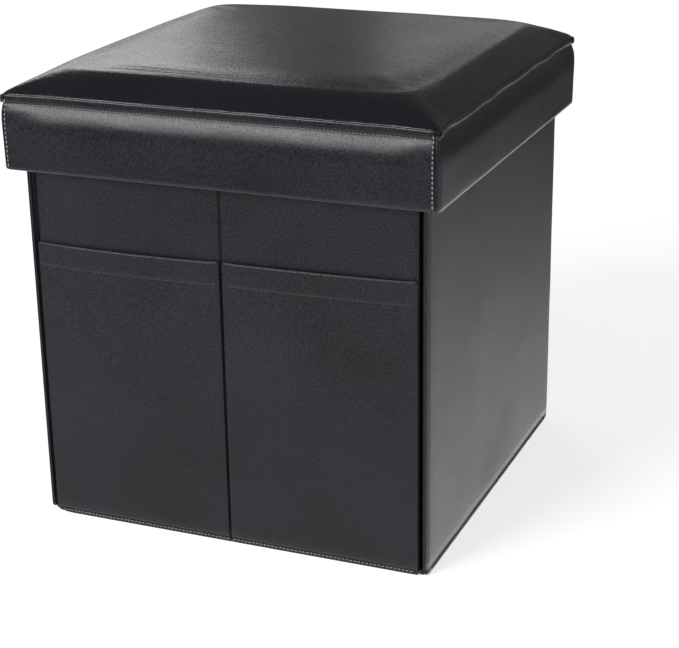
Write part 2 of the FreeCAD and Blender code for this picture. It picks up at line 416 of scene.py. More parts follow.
def capsule_row(path, normals, length, pitch, radius, sink=0.0, lift=0.0, seg=6, tilt=0.0, between=False):
    """Stitches: short capsules laid along a path. Returns one mesh of separate closed capsules."""
    path = np.asarray(path, float)
    normals = np.asarray(normals, float)
    d = np.r_[0, np.cumsum(np.linalg.norm(np.diff(path, axis=0), axis=1))]
    total = d[-1]
    n = max(1, int((total - length) / pitch) + 1)
    start = (total - (n - 1) * pitch - length) / 2
    if between:                      # the gaps between the stitches that the same call without it lays
        length, start, n = between, start + (length + pitch - between) / 2, n - 1

    def at(s):
        p = np.array([np.interp(s, d, path[:, k]) for k in range(3)])
        q = np.array([np.interp(s, d, normals[:, k]) for k in range(3)])
        return p, q / (np.linalg.norm(q) + 1e-12)

    V, F = [], []
    stations = [(-0.5, 0.0), (-0.44, 0.62), (-0.3, 1.0), (0.0, 1.12), (0.3, 1.0), (0.44, 0.62), (0.5, 0.0)]
    for i in range(n):
        s0 = start + i * pitch + length / 2
        a, na = at(s0 - length / 2)
        b, nb = at(s0 + length / 2)
        nn = na + nb
        nn /= np.linalg.norm(nn) + 1e-12
        t = b - a
        t /= np.linalg.norm(t) + 1e-12
        w = np.cross(nn, t)
        w /= np.linalg.norm(w) + 1e-12
        if tilt:
            t2 = t * math.cos(tilt) + w * math.sin(tilt)
            w = w * math.cos(tilt) - t * math.sin(tilt)
            t = t2
        nn = np.cross(t, w)
        c = (a + b) / 2
        base = len(V)
        for u, rr in stations:
            arch = (1 - (2 * u) ** 2)
            mid = c + t * (u * length) + nn * (lift * arch - sink * (1 - arch))
            if rr == 0.0:
                V.append(mid)
                continue
            for k in range(seg):
                a2 = 2 * math.pi * k / seg
                V.append(mid + (w * math.cos(a2) + nn * math.sin(a2)) * radius * rr)
        rings = [base + 1 + k * seg for k in range(len(stations) - 2)]
        last = len(V) - 1
        for k in range(seg):
            F.append((base, rings[0] + (k + 1) % seg, rings[0] + k))
            F.append((last, rings[-1] + k, rings[-1] + (k + 1) % seg))
        for r0, r1 in zip(rings, rings[1:]):
            for k in range(seg):
                F.append((r0 + k, r0 + (k + 1) % seg, r1 + (k + 1) % seg, r1 + k))
    return np.array(V), F


def tube(path, radius, seg=6):
    """A thin round edge along a path that runs mostly along X."""
    path = np.asarray(path, float)
    t = np.gradient(path, axis=0)
    t /= np.linalg.norm(t, axis=1, keepdims=True)
    u = np.cross(t, (0.0, 1.0, 0.0))
    u /= np.linalg.norm(u, axis=1, keepdims=True)
    w = np.cross(t, u)
    V, F = [], []
    for i, q in enumerate(path):
        for k in range(seg):
            a = 2 * math.pi * k / seg
            V.append(q + (u[i] * math.cos(a) + w[i] * math.sin(a)) * radius)
    n = len(path)
    for i in range(n - 1):
        for k in range(seg):
            k2 = (k + 1) % seg
            F.append((i * seg + k, i * seg + k2, (i + 1) * seg + k2, (i + 1) * seg + k))
    V.append(path[0])
    V.append(path[-1])
    for k in range(seg):
        k2 = (k + 1) % seg
        F.append((n * seg, k2, k))
        F.append((n * seg + 1, (n - 1) * seg + k, (n - 1) * seg + k2))
    return np.array(V), F


def flip(faces):
    return [tuple(reversed(f)) for f in faces]


def mirrored(V, F, sx, sy):
    V = np.asarray(V, float) * (sx, sy, 1)
    return V, (flip(F) if sx * sy < 0 else F)


# =============================================================================================
# body: six covered wall panels
# =============================================================================================
def panel(name, body, lo, hi, rlo, rhi, back, seed, mirror=(1, 1), puff=0.7, wrinkle=0.16, step=7.0, skin=2.5, side=2.5):
    """A PU cover drawn over a board: soft edges, slightly fuller in the middle, open at the back.
    back is the side that faces the storage space."""
    lo, hi = np.array(lo, float), np.array(hi, float)
    xs = lines(lo[0], hi[0], rlo[0], rhi[0], step)
    ys = lines(lo[1], hi[1], rlo[1], rhi[1], step)
    zs = lines(lo[2], hi[2], rlo[2], rhi[2], step)
    turn = 2.4

    def keep(face, c):
        if face == "z-":
            return False
        if face == back:
            k = 0 if back[0] == "x" else 1
            o = 1 - k
            return c[o] < lo[o] + turn or c[o] > hi[o] - turn or c[2] > hi[2] - turn
        return True

    k = 0 if back[0] == "x" else 1
    o = 1 - k
    # lines at the turned-in edge so that the opening is straight
    if o == 1:
        ys = np.unique(np.r_[ys[(np.abs(ys - lo[1] - turn) > 0.7) & (np.abs(ys - hi[1] + turn) > 0.7)], lo[1] + turn, hi[1] - turn])
    else:
        xs = np.unique(np.r_[xs[(np.abs(xs - lo[0] - turn) > 0.7) & (np.abs(xs - hi[0] + turn) > 0.7)], lo[0] + turn, hi[0] - turn])
    zs = np.unique(np.r_[zs[np.abs(zs - hi[2] + turn) > 0.7], hi[2] - turn])
    V, F = boxgrid(xs, ys, zs, keep)
    P, N = rounded(V, lo, hi, rlo, rhi)
    # the outer face: fuller in the middle, drawn in at the edges and hem
    outer = V[:, k] < lo[k] + 1e-6 if back.endswith("+") else V[:, k] > hi[k] - 1e-6
    e_o = np.minimum(V[:, o] - lo[o], hi[o] - V[:, o])
    e_z = np.minimum((V[:, 2] - lo[2]) * 1.2, hi[2] - V[:, 2] + 6)
    e = e_o + e_z - np.sqrt(e_o**2 + e_z**2)
    inset = puff * (1 - smooth01(e / 10.0))
    wr = fbm(V, 46.0, seed, 2) * wrinkle + fbm(V, 17.0, seed + 3, 2) * wrinkle * 0.35
    amount = -inset + np.minimum(wr, 0.3) - 0.1
    sgn = -1.0 if back.endswith("+") else 1.0
    P[:, k] += np.where(outer, sgn * amount, 0.0)
    on_back = np.abs(V[:, k] - (hi[k] if back.endswith("+") else lo[k])) < 1e-6
    thick = np.where(on_back, 0.42, min(skin, side) - 0.15)
    # the inner skin stays inside the space the board leaves free
    PV, PF = shell_of(P, F, thick)
    n = len(P)
    inner = PV[n:]
    inner[:, 2] = np.minimum(inner[:, 2], hi[2] - 2.42)
    inner[:, 2] = np.where(V[:, 2] < lo[2] + 1e-6, lo[2], inner[:, 2])
    inner[:, o] = np.clip(inner[:, o], lo[o] + side - 0.08, hi[o] - side + 0.08)
    s2 = skin - 0.04
    if back.endswith("+"):
        inner[:, k] = np.where(on_back, hi[k] - 0.45, np.where(outer, lo[k] + s2, np.clip(inner[:, k], lo[k] + s2, hi[k] - 0.45)))
    else:
        inner[:, k] = np.where(on_back, lo[k] + 0.45, np.where(outer, hi[k] - s2, np.clip(inner[:, k], lo[k] + 0.45, hi[k] - s2)))
    PV[n:] = inner
    PV, PF = mirrored(PV, PF, *mirror)
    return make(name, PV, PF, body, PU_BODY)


def hem(name, body, lo, hi, r, joint, node, mirror=(1, 1), seed=0.0, rin=1.2, lift_lo=0.0, lift_hi=0.0, along=0, rend=None):
    """The soft sewn edge under a wall: a rolled strip of the same PU, turned up at free corners."""
    ry = (r, rin) if along == 0 else (rend or r, rend or r)
    rx = (r, rin) if along == 1 else (r, rin)
    xs, ys = lines(lo[0], hi[0], rx[0], rx[1], 6.0, 3), lines(lo[1], hi[1], ry[0], ry[1], 6.0, 3)
    zs = lines(lo[2], hi[2], 1.6, 0.7, 1.4, 3)
    V, F = boxgrid(xs, ys, zs)
    P, N = rounded(V, lo, hi, (rx[0], ry[0], 1.6), (rx[1], ry[1], 0.7))
    q0, q1 = V[:, along] - lo[along], hi[along] - V[:, along]
    up = lift_lo * (1 - smooth01(q0 / 11.0)) + lift_hi * (1 - smooth01(q1 / 11.0))
    P[:, 2] += up * (1 - (V[:, 2] - lo[2]) / (hi[2] - lo[2]))
    w = fbm(V, 14.0, seed, 2) * 0.16
    side = N[:, :2].copy()
    P[:, :2] += side * (w - 0.12)[:, None]
    P, F = mirrored(P, F, *mirror)
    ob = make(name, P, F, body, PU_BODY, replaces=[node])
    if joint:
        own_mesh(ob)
    return ob


HALVES = {
    "front_left": (1, 1, "fold_front_left"),
    "front_right": (-1, 1, "fold_front_middle"),
    "back_left": (1, -1, "fold_back_left"),
    "back_right": (-1, -1, "fold_back_right"),
}
for n, (name, (sx, sy, joint)) in enumerate(HALVES.items()):
    ob = panel(name + "_pu_cover", name, (-EDGE, -H, HEM), (-CREASE, -HI, WALL_TOP), (3.6, 3.6, 0.0), (0.8, 1.5, 3.0),
               "y+", 5.3 * n + 1, (sx, sy), puff=0.4)
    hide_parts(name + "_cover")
    hem(name + "_sewn_hem", name, (-EDGE, -H + 0.45, 0.0), (-0.15, -HI, HEM - 0.03), 1.2, joint, name + "_hem", (sx, sy), n,
        rin=0.5, lift_lo=1.6 if sx * sy > 0 else 0.2)
for n, (name, sx, joint) in enumerate((("left_wall", 1, None), ("right_wall", -1, "fold_front_right"))):
    ob = panel(name + "_pu_cover", name, (-H, -H, HEM), (-HS, H, WALL_TOP), (3.9, 6.0, 0.0), (1.3, 6.0, 2.0),
               "x+", 31.7 * n + 2, (sx, 1), puff=0.5, skin=1.5, side=2.5)
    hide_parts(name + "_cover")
    hem(name + "_sewn_hem", name, (-H + 0.35, -H + 0.35, 0.0), (-HS, H - 0.35, HEM - 0.03), 3.7, joint, name + "_hem", (sx, 1), 9 + n,
        rin=1.0, lift_lo=4.2 if sx > 0 else 0.8, lift_hi=2.5, along=1, rend=5.8)


def groove_foot(name, wall, sx, sy, lift_wall, lift_half):
    """The side wall's hem turned in at the foot of a corner groove."""
    lo, hi = (EDGE + 0.25, -H + 1.6, 0.25), (HS + 0.3, -HI - 0.2, HEM - 0.1)
    V, F = boxgrid(lines(lo[0], hi[0], 0.5, 0.5, 0.6, 2), lines(lo[1], hi[1], 1.2, 0.5, 1.2, 3), lines(lo[2], hi[2], 1.0, 0.5, 1.0, 3))
    P, N = rounded(V, lo, hi, (0.5, 1.2, 1.0), (0.5, 0.5, 0.5))
    u = (V[:, 0] - lo[0]) / (hi[0] - lo[0])
    P[:, 2] += (lift_half + (lift_wall - lift_half) * u) * (1 - (V[:, 2] - lo[2]) / (hi[2] - lo[2]))
    P, F = mirrored(P, F, sx, sy)
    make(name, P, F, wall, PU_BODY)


groove_foot("groove_foot_front_left", "left_wall", -1, 1, 3.6, 1.7)
groove_foot("groove_foot_front_right", "right_wall", 1, 1, 0.7, 0.3)
groove_foot("groove_foot_back_left", "left_wall", -1, -1, 2.0, 1.0)
groove_foot("groove_foot_back_right", "right_wall", 1, -1, 2.0, 1.0)


# ---- front pockets ---------------------------------------------------------------------------
def pocket(name, body, sx, seed, sag, rise):
    """A flat pouch sewn along the groove, the middle and above the hem; its mouth stands off a little."""
    x0, x1 = -EDGE + 0.4, -CREASE - 0.5
    z0 = HEM + 0.3
    xs = np.unique(np.r_[lines(x0, x1, 0, 0, 3.4), x0 + 1.2, x0 + 2.6, x1 - 1.2, x1 - 2.6])
    us = (xs - x0) / (x1 - x0)
    depth_z = np.unique(np.r_[0, 0.06, 0.22, 0.48, 0.8, 1.2, 2.0, 3.0, 4.4, np.linspace(6, 17, 6), 18.2, 19.0, 19.8, 20.8, 22.2,
                              np.linspace(26, MOUTH - z0 - 3, 42), MOUTH - z0 - 1.2, MOUTH - z0])
    nx, nz = len(xs), len(depth_z)
    V = np.zeros((nx * nz, 3))
    off = np.zeros(nx * nz)
    for i, (x, u) in enumerate(zip(xs, us)):
        side = min(x - x0, x1 - x)
        edge_l, edge_r = x - x0, x1 - x
        for k, dz in enumerate(depth_z):
            # the mouth dips a little between its sewn ends
            dip = sag * math.sin(math.pi * u) ** 0.7 - rise * (1 - u)
            top = MOUTH - 0.3 - dip
            zz = top - dz * (top - z0) / (MOUTH - z0)
            # how far the cloth's outer face stands off the panel behind it
            fall = 1 - dz / (MOUTH - z0)
            across = (1 - math.exp(-edge_l / 10.0)) * (1 - math.exp(-edge_r / 7.0))
            lift = 1.4 + across * (0.45 + 1.15 * fall**3.2)
            # the turned hem at the mouth is two cloths thick, ended by its stitch row
            lift += 0.22 * (1 - smooth01((dz - 18.0) / 3.0)) * smooth01(side / 3)
            lift -= 0.22 * math.exp(-(((dz - 19.0) / 0.8) ** 2)) * smooth01(side / 3)
            if dz < 1.2:
                lift -= 0.85 * (1 - math.sqrt(max(0.0, 1 - (1 - dz / 1.2) ** 2)))
            # drawn in where it is sewn at the foot
            foot = zz - z0
            lift -= 0.35 * math.exp(-((foot / 2.2) ** 2))
            V[i * nz + k] = (x, 0, zz)
            off[i * nz + k] = lift
    w = fbm(V, 52.0, seed, 3) * 0.34 + fbm(V * (1, 1, 0.45), 20.0, seed + 4, 2) * 0.13
    side = np.minimum(V[:, 0] - x0, x1 - V[:, 0])
    off += 0.6 * w * smooth01(side / 14) * smooth01((V[:, 2] - z0) / 14)
    # short puckers beside the sewn sides
    pk = fbm(V * (0.35, 1, 1), 7.0, seed + 9, 2)
    off += 0.15 * pk * np.exp(-((side - 3.0) / 4.5) ** 2)
    V[:, 1] = -H - np.clip(off, 0.75, 5.5)
    F = []
    for i in range(nx - 1):
        for k in range(nz - 1):
            a, b, c, d = i * nz + k, i * nz + k + 1, (i + 1) * nz + k + 1, (i + 1) * nz + k
            F.append((a, b, c, d))
    PV, PF = shell_of(V, F, 1.05)
    n = len(V)
    PV[n:, 0] = PV[:n, 0]
    PV[n:, 2] = PV[:n, 2]
    PV[n:, 1] = np.minimum(PV[:n, 1] + 1.05, -H - 0.02)
    PV, PF = mirrored(PV, PF, sx, 1)
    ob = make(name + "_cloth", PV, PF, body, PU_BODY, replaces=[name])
    # stitch row of the mouth hem
    col = {}
    rows = []
    k19 = int(np.argmin(np.abs(depth_z - 19.0)))
    sel = [i for i in range(nx) if 3.0 < xs[i] - x0 and 3.0 < x1 - xs[i]]
    path = np.array([V[i * nz + k19] for i in sel]) + (0, 0.02, 0)
    rows.append((path, 2.5, 3.7, 0.27))
    sv, sf = [], []
    for path, ln, pitch, rad in rows:
        nrm = np.tile((0, -1.0, 0.0), (len(path), 1))
        v, f = capsule_row(path, nrm, ln, pitch, rad, sink=0.2, lift=0.12)
        f = [tuple(i + len(sv) for i in q) for q in f]
        sv += list(v)
        sf += f
    sv, sf = mirrored(np.array(sv), sf, sx, 1)
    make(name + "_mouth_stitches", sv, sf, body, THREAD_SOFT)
    # the turned edge at the mouth: a thin lighter tube, a painted highlight where the fold catches the light
    path = np.array([V[i * nz] for i in range(1, nx - 1)]) + (0, -0.12, 0.02)
    v, f = tube(path, 0.36)
    v, f = mirrored(v, f, sx, 1)
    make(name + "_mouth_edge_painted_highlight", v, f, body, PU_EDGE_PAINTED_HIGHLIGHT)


pocket("pocket_left", "front_left", 1, 3.1, 1.5, -0.6)
pocket("pocket_right", "front_right", -1, 11.4, 0.7, 2.8)


# ---- stitches along the bottom hems, one row near the floor on each side ---------------------------
def hem_row(name, body, a, b, normal, mat):
    n = 40
    path = np.linspace(a, b, n)
    path[:, 2] += 0.12 * np.sin(np.linspace(0, 17, n))
    v, f = capsule_row(path, np.tile(normal, (n, 1)), 2.5, 3.5, 0.44, sink=0.15, lift=0.12)
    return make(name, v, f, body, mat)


for name, (sx, sy, joint) in HALVES.items():
    ob = hem_row(name + "_hem_stitches", name, (sx * (-EDGE + 4.0), sy * (-H + 0.3), 3.3), (sx * -1.0, sy * (-H + 0.3), 3.3),
                 (0, -sy, 0), THREAD_PALE)
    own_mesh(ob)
for name, sx, joint in (("left_wall", -1, None), ("right_wall", 1, "fold_front_right")):
    ob = hem_row(name + "_hem_stitches", name, (sx * (H - 0.3), -H + 10, 3.4), (sx * (H - 0.3), H - 10, 3.4), (sx, 0, 0), THREAD)
    if joint:
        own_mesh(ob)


# ---- cloth that crosses the joints ----------------------------------------------------------------
def crease(name, sy, bodies):
    """The PU between the two halves: a narrow tuck."""
    xs = np.linspace(-CREASE + 0.06, CREASE - 0.06, 13)
    zs = np.linspace(HEM + 0.2, WALL_TOP - 2.8, 60)
    V, F = [], []
    for x in xs:
        for z in zs:
            V.append((x, -H + 0.55 + 0.95 * math.cos(math.pi * x / (2 * CREASE)) + 0.05 * math.sin(z / 6.0), z))
    nz = len(zs)
    for i in range(len(xs) - 1):
        for k in range(nz - 1):
            a = i * nz + k
            F.append((a, a + nz, a + nz + 1, a + 1))
    PV, PF = shell_of(V, F, 0.42)
    PV, PF = mirrored(PV, PF, 1, sy)
    if isinstance(bodies, str):
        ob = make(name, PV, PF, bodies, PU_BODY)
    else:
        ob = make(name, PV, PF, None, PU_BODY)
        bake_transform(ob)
    return ob


ob = crease("front_crease_pu", 1, ("front_left", "front_right"))
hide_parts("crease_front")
ob = crease("back_crease_pu", -1, "back_left")
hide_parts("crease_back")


def inner_hem(name, body, sx, joint):
    """The lining's turned edge along the foot of a side wall, inside."""
    lo, hi = (HS - 3.3, -HI + 2.0, 0.35), (HS - 0.05, HI - 2.0, HEM - 0.4)
    V, F = boxgrid(lines(lo[0], hi[0], 1.0, 0.4, 1.0, 3), lines(lo[1], hi[1], 1.0, 1.0, 5.0, 3), lines(lo[2], hi[2], 1.0, 1.4, 1.2, 3))
    P, N = rounded(V, lo, hi, (1.0, 1.0, 1.0), (0.4, 1.0, 1.4))
    P[:, :2] -= N[:, :2] * (0.12 + 0.12 * fbm(V, 11.0, 5.5, 2))[:, None]
    P, F = mirrored(P, F, sx, 1)
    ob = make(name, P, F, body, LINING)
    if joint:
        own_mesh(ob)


inner_hem("right_wall_inner_hem", "right_wall", 1, "fold_front_right")


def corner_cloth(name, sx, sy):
    """Cloth hinge in an inside corner: one leg on the side wall, one on the folding half."""
    path = [(-HS + 0.55, y) for y in np.linspace(-HI + 15, -HI + 3.4, 7)]
    for a in np.linspace(0, 90, 7)[1:-1]:
        t = math.radians(a)
        path.append((-HS + 0.55 + 2.85 * (1 - math.cos(t)), -HI + 3.4 - 2.85 * math.sin(t)))
    path += [(x, -HI + 0.55) for x in np.linspace(-HS + 3.4, -HS + 14, 7)]
    zs = np.linspace(HEM + 4, WALL_TOP - 8, 70)
    V, F = [], []
    for i, (x, y) in enumerate(path):
        for z in zs:
            V.append((x, y, z))
    V = np.array(V)
    nz = len(zs)
    w = fbm(V, 22.0, sx + 2 * sy, 2) * 0.22
    F = [(i * nz + k, i * nz + k + 1, (i + 1) * nz + k + 1, (i + 1) * nz + k) for i in range(len(path) - 1) for k in range(nz - 1)]
    N = vertex_normals(V, F)
    V = V + N * (w - 0.1)[:, None] * (-1 if N[len(V) // 2][0] < 0 else 1) * 0.6
    PV, PF = shell_of(V, F, 0.42)
    PV, PF = mirrored(PV, PF, sx, sy)
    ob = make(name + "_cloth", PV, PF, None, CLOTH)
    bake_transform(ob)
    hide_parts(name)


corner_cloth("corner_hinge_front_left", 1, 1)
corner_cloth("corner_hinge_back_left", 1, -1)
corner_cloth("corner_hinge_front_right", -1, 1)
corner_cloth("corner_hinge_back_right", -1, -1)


# ---- bottom flap -------------------------------------------------------------------------------------
def flap():
    lo, hi = FLAP
    V, F = boxgrid(lines(lo[0], hi[0], 1.6, 1.6, 9.0, 3), lines(lo[1], hi[1], 1.6, 1.6, 9.0, 3), lines(lo[2], hi[2], 1.2, 1.2, 1.0, 3))
    P, N = rounded(V, lo, hi, (1.6, 1.6, 1.2), (1.6, 1.6, 1.2))
    w = fbm(V, 60.0, 4.4, 3) * 0.2 - 0.16
    e = np.minimum(np.minimum(V[:, 0] - lo[0], hi[0] - V[:, 0]), np.minimum(V[:, 1] - lo[1], hi[1] - V[:, 1]))
    groove = -0.3 * np.exp(-(((e - 7.0) / 1.2) ** 2))
    top = N[:, 2] > 0.5
    P[:, 2] += np.where(top, np.clip(w, -0.3, 0.0) + groove, 0.0)
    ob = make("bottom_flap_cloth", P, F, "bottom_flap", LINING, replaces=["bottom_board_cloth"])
    # perimeter stitches
    a, b = 7.0, 7.0
    x0, x1, y0, y1 = lo[0] + a, hi[0] - a, lo[1] + b, hi[1] - b
    sv, sf = [], []
    for p, q in (((x0, y0), (x1, y0)), ((x1, y0), (x1, y1)), ((x1, y1), (x0, y1)), ((x0, y1), (x0, y0))):
        path = np.linspace((p[0], p[1], hi[2] - 0.34), (q[0], q[1], hi[2] - 0.34), 30)
        v, f = capsule_row(path, np.tile((0, 0, 1.0), (30, 1)), 3.0, 4.6, 0.26, sink=0.15, lift=0.1)
        sf += [tuple(i + len(sv) for i in g) for g in f]
        sv += list(v)
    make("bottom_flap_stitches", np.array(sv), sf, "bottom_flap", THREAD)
    # pull tab of doubled webbing
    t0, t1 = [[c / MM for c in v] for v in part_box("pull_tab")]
    V, F = boxgrid(lines(t0[0], t1[0], 0.6, 0.6, 1.2, 2), lines(t0[1], t1[1], 0.6, 0.6, 1.2, 2), lines(t0[2], t1[2], 0.3, 0.3, 0.3, 2))
    P, N = rounded(V, t0, t1, (0.6, 0.6, 0.3), (0.6, 0.6, 0.3))
    top = N[:, 2] > 0.5
    rib = 0.06 * np.sin(V[:, 0] * 2 * math.pi / 2.4)
    P[:, 2] += np.where(top, rib - 0.08, 0)
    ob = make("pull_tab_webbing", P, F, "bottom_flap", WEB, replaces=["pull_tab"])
    box = [(t0[0] + 3, t0[1] + 3), (t0[0] + 3, t1[1] - 3), (t0[0] + 13, t1[1] - 3), (t0[0] + 13, t0[1] + 3), (t0[0] + 3, t0[1] + 3),
           (t0[0] + 13, t1[1] - 3)]
    sv, sf = [], []
    for p, q in zip(box, box[1:]):
        path = np.linspace((p[0], p[1], t1[2] - 0.06), (q[0], q[1], t1[2] - 0.06), 8)
        v, f = capsule_row(path, np.tile((0, 0, 1.0), (8, 1)), 1.7, 2.5, 0.2, sink=0.1, lift=0.04)
        sf += [tuple(i + len(sv) for i in g) for g in f]
        sv += list(v)
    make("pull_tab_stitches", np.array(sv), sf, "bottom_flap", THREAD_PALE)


flap()


def flap_hinge():
    z = FLAP[1][2]
    path = [(-HS + 0.35, z + 11.5 - d) for d in np.linspace(0, 9.5, 5)]
    for a in np.linspace(0, 90, 6)[1:-1]:
        t = math.radians(a)
        path.append((-HS + 0.35 + 1.45 * (1 - math.cos(t)), z + 2.0 - 1.45 * math.sin(t)))
    path += [(x, z + 0.55) for x in np.linspace(-HS + 1.8, -HS + 12.5, 6)]
    ys = np.linspace(-147, 147, 60)
    V, F = [], []
    for x, zz in path:
        for y in ys:
            V.append((x, y, zz))
    ny = len(ys)
    F = [(i * ny + k, (i + 1) * ny + k, (i + 1) * ny + k + 1, i * ny + k + 1) for i in range(len(path) - 1) for k in range(ny - 1)]
    PV, PF = shell_of(np.array(V), F, 0.35)
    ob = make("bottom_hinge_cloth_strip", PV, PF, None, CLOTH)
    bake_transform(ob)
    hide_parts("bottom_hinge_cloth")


flap_hinge()


# =============================================================================================
# lid
# =============================================================================================
R_C = 5.5                      # vertical corner radius of the lid
SEAM_A = 20.0                  # the corner seam lies this many degrees into the corner, on its front or back side
BAND_H = SEAM_Z - SKIRT_Z
DRAWN = 3.0                    # how far the seam is drawn in along the sides, away from the corners


def drawn_in(dist):
    """The stuffed cover is pulled in at its top seam, less so near the stiff corners."""
    return DRAWN * smooth01(dist / 42.0)


def lid_path(kind):
    """Points and outward normals along one band, seam to seam, for the front (kind 0) or right (kind 1) side."""
    c = LH - R_C
    pts, nrm = [], []

    def arc(cx, cy, a0, a1, n):
        for a in np.linspace(a0, a1, n):
            t = math.radians(a)
            pts.append((cx + R_C * math.cos(t), cy + R_C * math.sin(t)))
            nrm.append((math.cos(t), math.sin(t)))

    def straight(p, q, nn, step):
        L = math.dist(p, q)
        m = max(2, int(L / step))
        for i in range(1, m):
            f = i / m
            pts.append((p[0] + (q[0] - p[0]) * f, p[1] + (q[1] - p[1]) * f))
            nrm.append(nn)

    if kind == 0:
        arc(-c, -c, 270 - SEAM_A, 270, 5)
        straight((-c, -LH), (c, -LH), (0, -1), 2.4)
        arc(c, -c, 270, 270 + SEAM_A, 5)
    else:
        arc(c, -c, 270 + SEAM_A, 360, 9)
        straight((LH, -c), (LH, c), (1, 0), 2.4)
        arc(c, c, 0, 90 - SEAM_A, 9)
    return np.array(pts), np.array(nrm)


BAND_T = np.array([0.0, 0.35, 0.8, 1.4, 2.2, 3.4, 4.8, 5.8, 6.5, 7.1, 7.7, 8.3, 9.0, 10.0, 11.2, 12.6, 14.2, 16.2, 18.6, 21.5, 25.5, 30,
                   34.5, 39, 43, 46.5, 49.5, 52, 54.2, 56.2, 57.8, 59.2, 60.3, 61.2, 61.8, 62.0])


def band(name, kind, quarter, mirror, seed, low_curve, wavy, full=0.4):
    pts, nrm = lid_path(kind)
    d = np.r_[0, np.cumsum(np.linalg.norm(np.diff(pts, axis=0), axis=1))]
    total = d[-1]
    mid = d - total / 2
    # the top stitch row wanders a little where the cloth is gathered
    wander = np.array([noise.noise(Vector((s / 26.0, seed, 0.3))) for s in mid]) * wavy
    ends = np.minimum(d, total - d)
    stitch_t = 7.2 + wander * smooth01(ends / 30)
    rows = []
    T = BAND_T * (BAND_H / 62.0)
    for i, (p, n) in enumerate(zip(pts, nrm)):
        st = stitch_t[i]
        draw = float(drawn_in(ends[i]))
        for t in T:
            # a lip where both cloths are turned in at the seam
            off = -1.1 * (1 - math.sin(min(1.0, t / 1.3) * math.pi / 2))
            zz = SEAM_Z - t + (0.3 * math.sin(min(1.0, t / 1.0) * math.pi) if t < 1.0 else 0)
            # drawn in at the seam, pinched along the stitches, then a full padded shoulder
            h = 1 - float(smooth01((t - 3.0) / 22.0))
            off -= (1.3 + draw) * h
            off -= 0.75 * math.exp(-(((t - st) / 1.0) ** 2))
            off -= 0.45 * math.exp(-(((t - st - 1.2) / 2.6) ** 2))
            off += full * smooth01((t - st) / 9.0)
            # slightly hollow below and curved under at the lower edge
            off -= 0.3 * smooth01((t - 24) / 24.0)
            off -= low_curve * smooth01((t - (BAND_H - 20)) / 20.0) ** 1.4
            u = (t - (BAND_H - 3.6)) / 3.6
            if u > 0:
                off -= 1.3 * (1 - math.sqrt(max(0.0, 1 - min(1.0, u) ** 2)))
            # the corner seam: both bands dip into it
            off -= 0.8 * math.exp(-((ends[i] / 0.9) ** 2)) * smooth01(t / 2.0)
            rows.append((p[0] + n[0] * off, p[1] + n[1] * off, zz))
        # under the skirt, inwards
        for w_in, dz in ((3.1, 0.0), (4.0, 0.02), (4.8, 0.02), (5.3, 0.05)):
            rows.append((p[0] - n[0] * w_in, p[1] - n[1] * w_in, SKIRT_Z + dz))
    m = len(T) + 4
    V = np.array(rows)
    tt = np.tile(np.r_[T, [BAND_H] * 4], len(pts))
    dd = np.repeat(mid, m)
    nn = np.repeat(nrm, m, axis=0)
    ee = np.repeat(ends, m)
    st = np.repeat(stitch_t, m)
    flat = np.c_[dd, tt, np.zeros_like(tt)]
    # slow undulation, fine gathers by the stitches, and puckers at the corner seams
    w = fbm(flat, 60.0, seed, 2) * 0.34 * smooth01((tt - 9) / 12) * smooth01((BAND_H - tt) / 8)
    w += fbm(flat * (1, 0.35, 1), 6.5, seed + 5, 2) * 0.16 * np.exp(-(((tt - st) / 4.0) ** 2))
    w += 0.42 * fbm(flat * (0.5, 1.6, 1), 6.0, seed + 8, 2) * np.exp(-(ee / 9.0)) * smooth01((26 - tt) / 20) * smooth01(tt / 3)
    w *= np.where(tt >= BAND_H - 0.01, 0, 1)
    V[:, :2] += nn * np.minimum(w, 0.6)[:, None]
    F = [(i * m + k, i * m + k + 1, (i + 1) * m + k + 1, (i + 1) * m + k) for i in range(len(pts) - 1) for k in range(m - 1)]
    PV, PF = shell_of(V, F, 0.95)

    def place(v, f):
        v = np.array(v, float)
        a = math.radians(90 * quarter)
        v = np.c_[v[:, 0] * math.cos(a) - v[:, 1] * math.sin(a), v[:, 0] * math.sin(a) + v[:, 1] * math.cos(a), v[:, 2]]
        return mirrored(v, f, *mirror)

    PV, PF = place(PV, PF)
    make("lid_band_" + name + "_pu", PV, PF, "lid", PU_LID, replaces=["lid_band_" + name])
    # top stitch row, in its pinch; its black thread is coloured grey, a painted sheen for the highlights it catches
    path, pn = [], []
    for i in range(len(pts)):
        if ends[i] < 2.0:
            continue
        lo_k = np.searchsorted(T, stitch_t[i]) - 1
        f = (stitch_t[i] - T[lo_k]) / (T[lo_k + 1] - T[lo_k])
        q = V[i * m + lo_k] * (1 - f) + V[i * m + lo_k + 1] * f
        path.append(q)
        pn.append((nrm[i][0], nrm[i][1], 0.0))
    v, f = capsule_row(path, pn, 2.4, 3.3, 0.34, sink=0.12, lift=0.25, tilt=0.12)
    v, f = place(v, f)
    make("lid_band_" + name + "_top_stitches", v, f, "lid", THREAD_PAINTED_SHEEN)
    # near-black capsules in the gaps between the stitches: painted shade of the needle holes
    v, f = capsule_row(path, pn, 2.4, 3.3, 0.42, sink=0.0, lift=-0.12, between=1.1)
    v, f = place(v, f)
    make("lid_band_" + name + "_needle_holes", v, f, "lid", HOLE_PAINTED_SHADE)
    return V, m, T, pts, nrm, ends, place


fv = band("front", 0, 0, (1, 1), 2.3, 0.15, 0.35)
band("back", 0, 2, (1, 1), 9.1, 0.25, 0.5)
rv = band("right", 1, 0, (1, 1), 4.7, 0.25, 1.1, 0.7)
band("left", 1, 2, (1, 1), 14.2, 0.3, 0.9)


